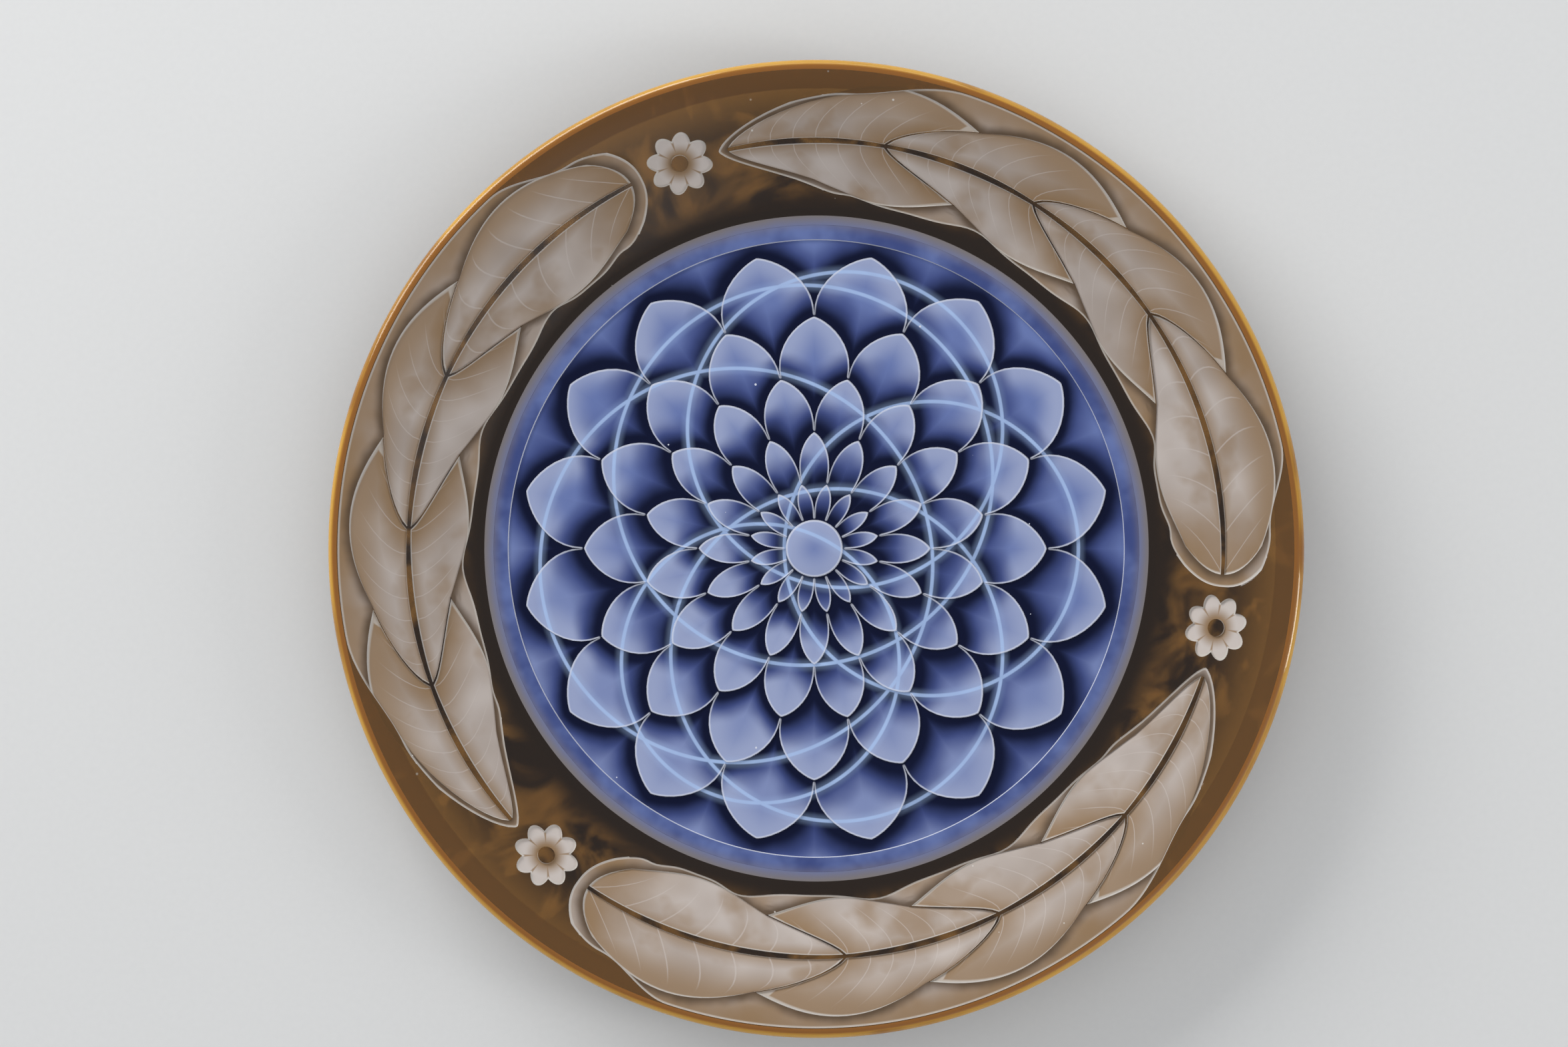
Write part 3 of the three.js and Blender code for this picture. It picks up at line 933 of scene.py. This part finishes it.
class Column(NamedTuple):
    """A line across the rim, with what lies between it and the line before it."""

    # Its angle, as a function of the place across the garland.
    turn: object
    kind: str
    # Half the garland's width on this line, and its place along the leaf from 0 to 1.
    width: float
    along: float = 1.0
    carved: bool = False
    # The garland whose band it crosses, and 0, 1 or 2 for the band's start, length or end.
    part: tuple = None
    # Whether it lies at the band's floor all the way across.
    low: bool = False
    # How far the band has spread towards the lip, and how far its edges tuck in.
    reach: float = 0.0
    tuck: float = 0.0


class Row(NamedTuple):
    """A line round the rim, with what lies between it and the line before it."""

    kind: str
    # Its radius and height, as a function of the column.
    place: object
    across: float
    carved: bool = False
    leaf_edge: bool = False


class CHARGER_OT_rim(bpy.types.Operator):
    """Carves the amber casing of the rim with garlands of leaves and a flower between each two"""

    bl_idname = "charger.rim"
    bl_label = "Amber casing of the rim"

    POLISHED, LEAF, EDGE, MARGIN, LIP, FLOWER, BAND = range(7)
    # The glass of a cell by its row alone, and below the first kind that its row or column has.
    ROW_ZONES = {"margin": MARGIN, "lip": LIP, "back": POLISHED}
    ZONES = {
        "outside": POLISHED, "step": EDGE, "band": BAND, "ground": POLISHED, "bevel": EDGE, "leaf": LEAF
    }
    LEAF_STEPS = 22
    GAP_STEPS = 26
    END_STEPS = 8
    MARGIN_ROWS = 5
    HALF_ROWS = 9
    OUTER_ROWS = 6
    LIP_ROWS = 18
    WRAP_ROWS = 5
    INNER_LIP_ROWS = 12
    BACK_ROWS = 14
    # How far the frosted margin runs out past the well.
    MARGIN_OVERHANG = 0.4 * MM
    # How far the place across runs beyond a leaf, where its edge is 1.
    FLARE = 1.25
    # The share of a garland's first and last leaf along which its band spreads.
    BAND_SPREAD = 0.65
    # How far the band's edge slopes in plan down to its floor.
    BAND_SLOPE = 0.21 * MM
    # How far the band's edges tuck in at its ends, as shares of its width beside the leaf.
    TIP_TUCK = 0.25
    BASE_TUCK = 0.43

    def execute(self, context):
        self.dish = context.scene.charger_dish
        self.rim = context.scene.charger_rim
        self.section = Section(self.dish)
        self.columns = self.make_columns()
        self.rows = self.make_rows()
        points = self.each(lambda column, row: round_axis(*row.place(column), column.turn(row.across)))
        zones = self.each(self.zone)[1:, 1:]
        edge_mm, leaf_mm = self.distances(points)
        attributes = {
            "along": self.each(lambda column, row: column.along),
            "across": self.each(lambda column, row: row.across),
            "edge_mm": edge_mm,
            "leaf_mm": leaf_mm,
        }
        piece = wrapped("amber_casing", points, zones, attributes)
        colours = context.scene.charger_colours
        edge, flower = carved_edge("amber_edge_highlight", colours.line), frosted_flower(colours, self.rim)
        coat(
            piece,
            polished_amber(colours, self.dish),
            frosted_leaf(colours),
            edge,
            frosted_margin(colours, self.dish),
            glowing_lip(colours, self.dish),
            flower,
            frosted_band(colours, self.dish),
        )
        self.cut_flowers(piece, edge, flower)
        finish_piece(piece, AMBER_NODE)
        return {"FINISHED"}

    def each(self, measure):
        """An array of what is measured at every column and row."""
        return np.array([[measure(column, row) for row in self.rows] for column in self.columns])

    def zone(self, column, row):
        if row.kind in self.ROW_ZONES:
            return self.ROW_ZONES[row.kind]
        return next(zone for kind, zone in self.ZONES.items() if kind in (column.kind, row.kind))

    def make_columns(self):
        """Lines across the rim all the way round, with the last one over the first."""
        columns = []
        for garland in range(self.rim.garlands):
            for leaf in range(1, self.rim.leaves + 1):
                columns += self.leaf_columns(garland, leaf)
            columns += self.gap_columns(garland)
        first = columns[0]
        columns.append(first._replace(turn=lambda across: first.turn(across) + math.tau))
        return columns

    def line(self, garland, start, end, way):
        """The angle of a line part of the way between two curves, as a function of the place across."""
        turn = garland * math.tau / self.rim.garlands
        return lambda across: turn + start(across) + (end(across) - start(across)) * way

    def leaf_columns(self, garland, leaf):
        """Lines from one leaf's start to its end, with a bevel at both."""
        rim = self.rim

        def start(across):
            return leaf_end(rim, leaf - 1, across) + rim.gap / rim.radius

        def end(across):
            return leaf_end(rim, leaf, across)

        bevel = BEVEL / (rim.radius * rim.pitch)
        ways = [0, *np.linspace(bevel, 1 - bevel, self.LEAF_STEPS), 1]
        last = len(ways) - 1
        columns = []
        for i, way in enumerate(ways):
            starts = leaf == 1 and i == 0
            kind = "ground" if i == 0 else "bevel" if i in (1, last) else "leaf"
            columns.append(Column(
                turn=self.line(garland, start, end, way),
                kind="band" if starts else kind,
                width=rim.neck + (rim.half_width - rim.neck) * math.sin(math.pi * way),
                along=way,
                carved=0 < i < last,
                part=(garland, 1),
                low=starts or (leaf == rim.leaves and i == last),
                reach=self.reach(leaf, way),
            ))
        return columns

    def reach(self, leaf, way):
        """How far the band has spread towards the lip: 0 at its ends, 1 along most of it."""
        from_start = way if leaf == 1 else 1.0
        from_end = 1 - way if leaf == self.rim.leaves else 1.0
        return smooth(min(from_start, from_end), 0.0, self.BAND_SPREAD)

    def gap_columns(self, garland):
        """Lines between two garlands: the end of one band, polished glass, the start of the next."""
        rim = self.rim
        following = (garland + 1) % rim.garlands

        def start(across):
            return leaf_end(rim, rim.leaves, across)

        def end(across):
            return leaf_end(rim, 0, across) + math.tau / rim.garlands

        bevel = BEVEL / (rim.radius * (end(0) - start(0)))
        near, far = rim.band_end, 1 - rim.band_end
        floor = near - bevel
        steps = np.linspace(0, 1, self.END_STEPS)[1:]
        lines = [(floor * x, "band", (garland, 2), self.TIP_TUCK * x * x) for x in steps]
        lines.append((near, "step", None, self.TIP_TUCK))
        for way in np.linspace(near, far, self.GAP_STEPS)[1:]:
            tuck = np.interp(way, (near, far), (self.TIP_TUCK, self.BASE_TUCK))
            lines.append((way, "outside", None, tuck))
        lines.append((1 - floor, "step", (following, 0), self.BASE_TUCK))
        lines += [(1 - floor * x, "band", (following, 0), self.BASE_TUCK * x * x) for x in steps[-2::-1]]
        return [
            Column(
                self.line(garland, start, end, way), kind, rim.neck, part=part, low=bool(part), tuck=tuck
            )
            for way, kind, part, tuck in lines
        ]

    def make_rows(self):
        """Lines round the rim, from the lap outwards, round the lip and back underneath."""
        dish, rim, section = self.dish, self.rim, self.section
        lap_inner = dish.well_radius - dish.lap + dish.seat / 2
        lap_outer = dish.well_radius + dish.lap
        lap_height = dish.lap_height + dish.seat / 2
        lip_start = section.lip(dish.casing, 2)[0][0]
        rows = []

        def add(kind, place, across=self.FLARE, **marks):
            rows.append(Row(kind, place, across, **marks))

        def fixed(kind, points):
            """Lines through points of the cross section."""
            for point in points:
                add(kind, lambda column, point=point: point)

        def level(kind, lift, radii):
            """Lines at a lift off the clear glass."""
            fixed(kind, [(radius, section.height(radius, lift)) for radius in radii])

        def inner_leaf(column):
            return rim.radius - column.width

        def outer_leaf(column):
            return rim.radius + column.width

        def inner_edge(column):
            full = (column.width - rim.neck) / (rim.half_width - rim.neck)
            edge = rim.band_inner + rim.band_wave * (1 - smooth(full, 0.0, 1.0))
            return edge + (inner_leaf(column) - edge) * column.tuck

        def outer_edge(column):
            shoulder = rim.radius + rim.neck + rim.band_shoulder
            edge = shoulder + (lip_start - rim.band_outer - shoulder) * column.reach
            return edge - (edge - outer_leaf(column)) * column.tuck

        def inner_floor(column):
            return inner_edge(column) + self.BAND_SLOPE

        def outer_floor(column):
            return outer_edge(column) - self.BAND_SLOPE

        def on_band(start, end, way, floor=True):
            """A line between two others, at the band's floor where there is a band."""
            def place(column):
                radius = start(column) + (end(column) - start(column)) * way
                sunk = rim.band_cut if floor and column.part else 0
                return radius, section.height(radius, dish.casing - sunk)

            return place

        def on_leaf(across, carved):
            def place(column):
                radius = rim.radius + across * column.width
                sunk = rim.band_cut if column.low else 0
                if carved and column.carved:
                    sunk = self.depth(column, across)
                return radius, section.height(radius, dish.casing - sunk)

            return place

        def half_leaf(places):
            for i, across in enumerate(places):
                add("bevel" if i == 0 else "leaf", on_leaf(across, True), across, carved=True)

        margin_end = dish.well_radius + self.MARGIN_OVERHANG
        level("margin", dish.casing, np.linspace(lap_inner, margin_end, self.MARGIN_ROWS))
        level("outside", dish.casing, [lap_outer])
        for way in (0.5, 1.0):
            add("outside", on_band(lambda column: lap_outer, inner_edge, way, floor=False))
        add("step", on_band(inner_floor, inner_leaf, 0))
        for way in (0.25, 0.5, 0.75, 1.0):
            across = -1 - (self.FLARE - 1) * (1 - way)
            add("band", on_band(inner_floor, inner_leaf, way), across, leaf_edge=way == 1)
        bevel = BEVEL / rim.half_width
        rib = rim.rib / 2 / rim.neck
        half = np.linspace(rib + bevel, 1 - bevel, self.HALF_ROWS)
        half_leaf(-half[::-1])
        for kind, across in (("bevel", -rib), ("ground", 0.0), ("ground", rib)):
            add(kind, on_leaf(across, False), across)
        half_leaf(half)
        for i, way in enumerate(np.linspace(0, 1, self.OUTER_ROWS)):
            across = 1 + (self.FLARE - 1) * way
            add("band" if i else "bevel", on_band(outer_leaf, outer_floor, way), across, leaf_edge=i == 0)
        for i, way in enumerate((0, 0.33, 0.67, 1.0)):
            place = on_band(outer_edge, lambda column: lip_start, way, floor=False)
            add("outside" if i else "step", place)
        lip = section.lip(dish.casing, self.LIP_ROWS)
        fixed("lip", lip[1:])
        wrap = dish.plate_radius - dish.lip_wrap
        under_lip = np.linspace(lip[-1][0], wrap, self.WRAP_ROWS)[1:]
        fixed("back", section.underside(dish.casing, under_lip))
        fixed("back", section.underside(dish.seat, [wrap]))
        fixed("back", section.lip(dish.seat, self.INNER_LIP_ROWS)[::-1])
        level("back", dish.seat, np.linspace(lip_start - 1 * MM, lap_outer, self.BACK_ROWS))
        level("back", lap_height, [lap_outer, lap_inner])
        level("back", dish.casing, [lap_inner])
        return rows

    def depth(self, column, across):
        """How deep the carving is at a place on a leaf: each half is a little crowned."""
        ends = math.sin(math.pi * column.along)
        return self.rim.cut - self.rim.crown * math.sin(math.pi * abs(across)) * ends**0.5

    def leaf_edge_mm(self, column, row):
        """Rough distance to the nearest edge of the half leaf."""
        if not (column.carved and row.carved):
            return FAR
        side = (1 - abs(row.across)) * column.width
        ends = min(column.along, 1 - column.along) * self.rim.radius * self.rim.pitch
        return min(side, ends) / MM

    def distances(self, points):
        """Distances in millimetres to the edges of the carving, and from a band to its leaves."""
        edge = self.each(self.leaf_edge_mm)
        leaf = np.full(edge.shape, FAR)
        first, past = [j for j, row in enumerate(self.rows) if row.kind == "step"]
        inner, outer = [j for j, row in enumerate(self.rows) if row.leaf_edge]
        whole = [*range(first, past)]
        beside = [j for j in whole if j <= inner or j >= outer]
        for garland in range(self.rim.garlands):
            start, length, end = [
                [i for i, column in enumerate(self.columns[:-1]) if column.part == (garland, part)]
                for part in range(3)
            ]
            leaves = self.loop(points, length, inner, outer)
            border = self.loop(points, start + length + end, first, past - 1)
            for i in start + length + end:
                picked = whole if self.columns[i].low else beside
                places = points[i, picked, :2]
                leaf[i, picked] = nearest_mm(places, leaves)
                edge[i, picked] = nearest_mm(places, border)
        edge[-1], leaf[-1] = edge[0], leaf[0]
        return edge, leaf

    def loop(self, points, columns, low, high):
        """The outline in plan of the part of the grid that some columns and rows span."""
        plan = points[:, :, :2]
        return np.concatenate([
            plan[columns, low],
            plan[columns[-1], low + 1:high],
            plan[columns[::-1], high],
            plan[columns[0], high - 1:low:-1],
        ])

    def cut_flowers(self, piece, edge, flower):
        """Cuts a flower's floor between each two garlands and leaves its eye standing."""
        rim = self.rim
        turns = [flower_turn(rim) + i * math.tau / rim.garlands for i in range(rim.garlands)]
        for cutter in [self.flower_cutter(turn) for turn in turns]:
            coat(cutter, edge, flower)
            pick(piece)
            cut = piece.modifiers.new("flower", "BOOLEAN")
            cut.operation = "DIFFERENCE"
            cut.solver = "EXACT"
            cut.material_mode = "TRANSFER"
            cut.object = cutter
            bpy.ops.object.modifier_apply(modifier=cut.name)
            bpy.data.objects.remove(cutter)
        if not any(face.material_index == self.FLOWER for face in piece.data.polygons):
            raise RuntimeError("amber_casing: no flower was cut")

    def flower_cutter(self, turn):
        """A ring with a lobed outside, whose floor lies along the rim's slope."""
        rim, dish, section = self.rim, self.dish, self.section
        steps = rim.flower_petals * 12
        above, flare, floor_rows = 6 * MM, 0.4 * MM, 6
        angles = np.linspace(0, math.tau, steps + 1)
        lobe = np.abs(np.sin(angles * rim.flower_petals / 2))
        eye = np.full_like(angles, rim.flower_eye)
        outer = rim.flower_radius - rim.flower_notch * (1 - lobe)
        rings = [(eye, above)]
        rings += [(eye + (outer - eye) * way, -rim.cut) for way in np.linspace(0, 1, floor_rows)]
        rings += [(outer + flare, 0.0), (outer + flare, above), (eye, above)]
        points = np.stack([round_axis(r, np.full_like(angles, z), angles) for r, z in rings], axis=1)
        zones = np.zeros((steps, len(rings) - 1), int)
        zones[:, 1:floor_rows] = 1
        cutter = wrapped("flower_cutter", points, zones, {})
        near, middle, far = section.height(rim.radius + MM * np.array([-1, 0, 1]), dish.casing)
        cutter.data.transform(
            Matrix.Rotation(turn, 4, "Z")
            @ Matrix.Translation((rim.radius, 0, middle))
            @ Matrix.Rotation(-math.atan2(far - near, 2 * MM), 4, "Y")
        )
        return cutter


class CHARGER_OT_stage(bpy.types.Operator):
    """Sets the floor, the light and the camera"""

    bl_idname = "charger.stage"
    bl_label = "Stage"

    # Where the lip's middle is aimed in the frame. The outline's middle falls a little to its right,
    # because the plate's nearer side looks larger.
    PLATE_PIXELS = (1214.5, 822.0)
    PLATE_RADIUS_PIXELS = 732.5
    # Each softbox: its name, its place, its width, its height and its power in watts.
    SOFTBOXES = (
        ("key", (-1.98, 2.20, 1.30), 2.8, 1.3, 74.0),
        ("back", (-0.2, 2.0, 0.7), 1.6, 0.5, 4.0),
        ("side", (2.4, -0.4, 1.1), 0.5, 0.9, 12.0),
    )
    # The room is dim but for a soft glow round one direction.
    ROOM_COLOUR = (0.95, 0.97, 1.0)
    GLOW_DIRECTION = (0.55, -0.50, 0.70)
    GLOW_EDGES = (0.80, 1.0)
    ROOM_LIGHT = 0.48
    GLOW_LIGHT = 0.52

    def execute(self, context):
        studio = context.scene.charger_studio
        self.floor(studio)
        self.world(context.scene)
        for softbox in self.SOFTBOXES:
            self.softbox(context.scene, *softbox)
        self.camera(context.scene, studio, context.scene.charger_dish)
        context.scene.view_settings.view_transform = "Standard"
        return {"FINISHED"}

    def floor(self, studio):
        start_clean()
        # A hair under the foot, so that no face of the two coincides.
        below = 0.2 * MM
        bpy.ops.mesh.primitive_plane_add(size=studio.floor_size, location=(0, 0, -below))
        floor = bpy.context.object
        floor.name = "floor"
        bpy.ops.object.transform_apply(location=True)
        paper = Finish("floor_paper", 0.8)
        tooth = paper.noise(3 * MM, detail=3.0)
        paper.paint(paper.mix(tooth, studio.floor_colour, shaded(studio.floor_colour, 0.96)))
        coat(floor, paper)

    def world(self, scene):
        world = bpy.data.worlds.new("studio")
        scene.world = world
        world.use_nodes = True
        nodes = Nodes(world.node_tree)
        background = nodes.tree.nodes["Background"]
        nodes.link(self.ROOM_COLOUR, background.inputs["Color"])
        towards = nodes.add("VectorMath", operation="DOT_PRODUCT")
        nodes.link(nodes.add("TexCoord").outputs["Generated"], towards.inputs[0])
        towards.inputs[1].default_value = Vector(self.GLOW_DIRECTION).normalized()
        glow = Value(nodes, towards.outputs["Value"]).step(*self.GLOW_EDGES)
        nodes.link(glow * self.GLOW_LIGHT + self.ROOM_LIGHT, background.inputs["Strength"])

    def softbox(self, scene, name, place, width, height, power):
        light = bpy.data.lights.new(name, "AREA")
        light.shape = "RECTANGLE"
        light.size = width
        light.size_y = height
        light.energy = power
        lamp = bpy.data.objects.new(name, light)
        lamp.location = place
        lamp.rotation_euler = (-Vector(place)).to_track_quat("-Z", "Y").to_euler()
        scene.collection.objects.link(lamp)

    def camera(self, scene, studio, dish):
        """Looks down the plate's axis from a little to its right, as far off as the outline needs."""
        data = bpy.data.cameras.new("camera")
        data.lens = studio.lens
        data.sensor_width = studio.sensor
        camera = bpy.data.objects.new("camera", data)
        scene.collection.objects.link(camera)
        scene.camera = camera
        pixels_per_slope = studio.lens / studio.sensor * IMAGE_WIDTH
        away = dish.plate_radius * pixels_per_slope / self.PLATE_RADIUS_PIXELS
        lip = Vector((0, 0, Section(dish).lip_centre[1]))
        back = Vector((math.sin(studio.turn), 0, math.cos(studio.turn)))
        across = Vector((0, 1, 0)).cross(back).normalized()
        upward = back.cross(across)
        right = (self.PLATE_PIXELS[0] - IMAGE_WIDTH / 2) / pixels_per_slope * away
        down = (self.PLATE_PIXELS[1] - IMAGE_HEIGHT / 2) / pixels_per_slope * away
        place = lip + back * away - across * right + upward * down
        turned_to = Matrix((across, upward, back)).transposed()
        camera.matrix_world = Matrix.Translation(place) @ turned_to.to_4x4()


OPERATORS = (CHARGER_OT_body, CHARGER_OT_well, CHARGER_OT_rim, CHARGER_OT_stage)


class CHARGER_PT_panel(bpy.types.Panel):
    """Lists the pieces of the plate in the sidebar"""

    bl_idname = "CHARGER_PT_panel"
    bl_label = "Charger"
    bl_space_type = "VIEW_3D"
    bl_region_type = "UI"
    bl_category = "Charger"

    def draw(self, context):
        for operator in OPERATORS:
            self.layout.operator(operator.bl_idname)
        for name in PROPERTY_GROUPS:
            group = getattr(context.scene, name)
            box = self.layout.box()
            for key in group.bl_rna.properties.keys():
                if key not in ("rna_type", "name"):
                    box.prop(group, key)


def register():
    for name, group in PROPERTY_GROUPS.items():
        bpy.utils.register_class(group)
        setattr(bpy.types.Scene, name, PointerProperty(type=group))
    for operator in OPERATORS:
        bpy.utils.register_class(operator)
    bpy.utils.register_class(CHARGER_PT_panel)


def unregister():
    bpy.utils.unregister_class(CHARGER_PT_panel)
    for operator in reversed(OPERATORS):
        bpy.utils.unregister_class(operator)
    for name, group in PROPERTY_GROUPS.items():
        delattr(bpy.types.Scene, name)
        bpy.utils.unregister_class(group)


def main():
    register()
    bpy.ops.charger.body()
    bpy.ops.charger.well()
    bpy.ops.charger.rim()
    bpy.ops.charger.stage()


if __name__ == "__main__":
    main()
